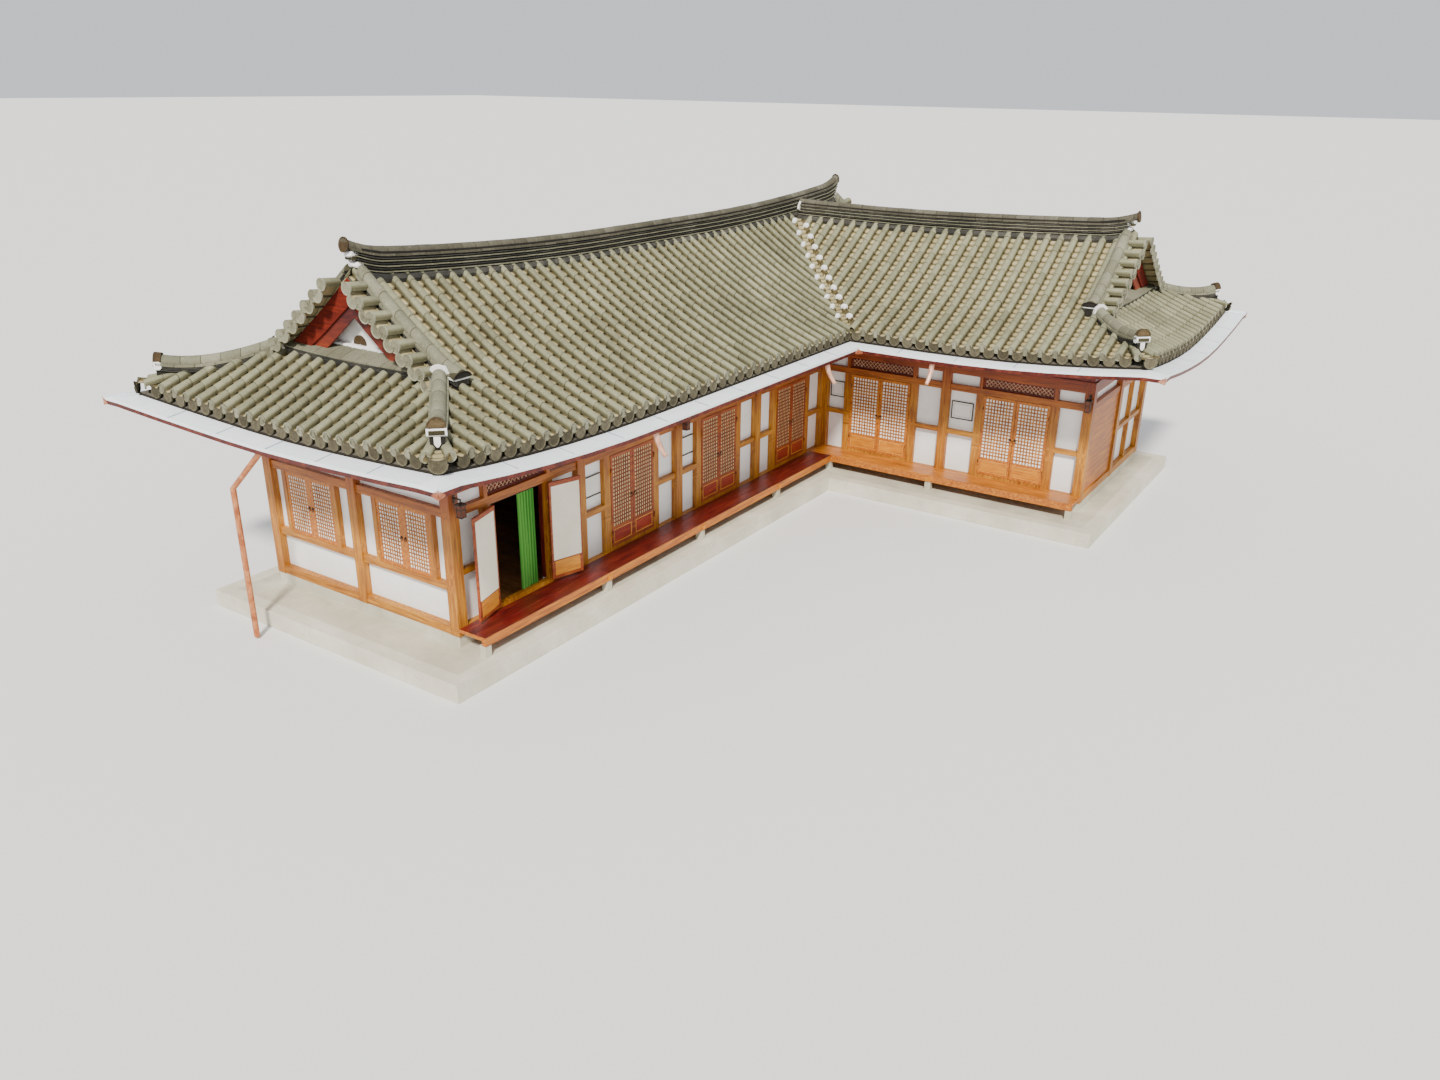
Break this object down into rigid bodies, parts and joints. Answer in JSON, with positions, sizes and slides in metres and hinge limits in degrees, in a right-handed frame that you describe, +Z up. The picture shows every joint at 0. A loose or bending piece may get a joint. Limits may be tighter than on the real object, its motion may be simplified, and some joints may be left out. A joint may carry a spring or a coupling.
{
  "type": "hanok house",
  "caption": "L-shaped single-storey Korean house with a hip-and-gable tiled roof, timber frame, lattice doors on hinges, a yard-side veranda and a low stone platform.",
  "frame": {"origin": "on the ground, below the outer corner of the column at the yard end of the long wing, where its yard face and its end face meet", "axes": "+Z up, +X along the long wing towards the short wing, -Y from the long wing into the yard, the way the short wing runs"},
  "size_m": [19.9, 14.22, 6.5462],
  "materials": {
    "stone": "rough",
    "timber": "satin",
    "door_timber": "satin",
    "deck": "satin",
    "dark_timber": "satin",
    "plaster": "matte",
    "floor": "satin",
    "tile": "matte",
    "sheet": "satin",
    "copper": "satin"
  },
  "bodies": {
    "house": {"platform": "stone", "room_floor": "floor", "veranda_deck": "deck", "yard_timber_frame": "timber", "yard_plaster_wall": "plaster", "wing_yard_timber_frame": "timber", "wing_yard_plaster_wall": "plaster", "wing_end_timber_frame": "timber", "wing_end_plaster_wall": "plaster", "wing_end_boards": "dark_timber", "outer_timber_frame": "timber", "outer_plaster_wall": "plaster", "outer_window_2": "door_timber", "back_timber_frame": "timber", "back_plaster_wall": "plaster", "back_window_3": "door_timber", "back_window_5": "door_timber", "left_end_timber_frame": "timber", "left_end_plaster_wall": "plaster", "left_end_window_1": "door_timber", "left_end_window_2": "door_timber", "roof_long_front": "tile", "roof_long_back": "tile", "roof_long_end": "tile", "roof_wing_yard": "tile", "roof_wing_outer": "tile", "roof_wing_end": "tile", "eave_beam": "dark_timber", "gutter": "sheet", "fascia": "dark_timber", "main_ridge": "tile", "wing_ridge": "tile", "left_gable_ridges": "tile", "wing_gable_ridges": "tile", "far_gable_ridges": "tile", "left_gable": "dark_timber", "wing_gable": "dark_timber", "far_gable": "dark_timber", "yard_spout_1": "copper", "yard_spout_2": "copper", "wing_spout": "copper", "left_end_downpipe": "copper"},
    "yard_door_1_left": {"yard_door_1_left_leaf": "door_timber"},
    "yard_door_1_right": {"yard_door_1_right_leaf": "door_timber"},
    "yard_door_2_left": {"yard_door_2_left_leaf": "door_timber"},
    "yard_door_2_right": {"yard_door_2_right_leaf": "door_timber"},
    "yard_door_3_left": {"yard_door_3_left_leaf": "door_timber"},
    "yard_door_3_right": {"yard_door_3_right_leaf": "door_timber"},
    "yard_door_4_left": {"yard_door_4_left_leaf": "door_timber"},
    "yard_door_4_right": {"yard_door_4_right_leaf": "door_timber"},
    "wing_yard_door_1_left": {"wing_yard_door_1_left_leaf": "door_timber"},
    "wing_yard_door_1_right": {"wing_yard_door_1_right_leaf": "door_timber"},
    "wing_yard_door_2_left": {"wing_yard_door_2_left_leaf": "door_timber"},
    "wing_yard_door_2_right": {"wing_yard_door_2_right_leaf": "door_timber"}
  },
  "joints": [
    {"name": "yard_door_1_left_hinge", "type": "hinge", "parent": "house", "child": "yard_door_1_left", "pos_m": [0.905, 0.006, 1.6], "axis": [0, 0, -1], "range_deg": [-165, 5]},
    {"name": "yard_door_1_right_hinge", "type": "hinge", "parent": "house", "child": "yard_door_1_right", "pos_m": [2.215, 0.006, 1.6], "axis": [0, 0, 1], "range_deg": [-165, 5]},
    {"name": "yard_door_2_left_hinge", "type": "hinge", "parent": "house", "child": "yard_door_2_left", "pos_m": [3.945, 0.006, 1.6], "axis": [0, 0, -1], "range_deg": [0, 170]},
    {"name": "yard_door_2_right_hinge", "type": "hinge", "parent": "house", "child": "yard_door_2_right", "pos_m": [5.255, 0.006, 1.6], "axis": [0, 0, 1], "range_deg": [0, 170]},
    {"name": "yard_door_3_left_hinge", "type": "hinge", "parent": "house", "child": "yard_door_3_left", "pos_m": [6.885, 0.006, 1.6], "axis": [0, 0, -1], "range_deg": [0, 170]},
    {"name": "yard_door_3_right_hinge", "type": "hinge", "parent": "house", "child": "yard_door_3_right", "pos_m": [8.195, 0.006, 1.6], "axis": [0, 0, 1], "range_deg": [0, 170]},
    {"name": "yard_door_4_left_hinge", "type": "hinge", "parent": "house", "child": "yard_door_4_left", "pos_m": [9.855, 0.006, 1.6], "axis": [0, 0, -1], "range_deg": [0, 170]},
    {"name": "yard_door_4_right_hinge", "type": "hinge", "parent": "house", "child": "yard_door_4_right", "pos_m": [11.165, 0.006, 1.6], "axis": [0, 0, 1], "range_deg": [0, 170]},
    {"name": "wing_yard_door_1_left_hinge", "type": "hinge", "parent": "house", "child": "wing_yard_door_1_left", "pos_m": [12.006, -0.7, 1.6], "axis": [0, 0, -1], "range_deg": [0, 90]},
    {"name": "wing_yard_door_1_right_hinge", "type": "hinge", "parent": "house", "child": "wing_yard_door_1_right", "pos_m": [12.006, -2.2, 1.6], "axis": [0, 0, 1], "range_deg": [0, 170]},
    {"name": "wing_yard_door_2_left_hinge", "type": "hinge", "parent": "house", "child": "wing_yard_door_2_left", "pos_m": [12.006, -3.94, 1.6], "axis": [0, 0, -1], "range_deg": [0, 170]},
    {"name": "wing_yard_door_2_right_hinge", "type": "hinge", "parent": "house", "child": "wing_yard_door_2_right", "pos_m": [12.006, -5.44, 1.6], "axis": [0, 0, 1], "range_deg": [0, 170]}
  ]
}
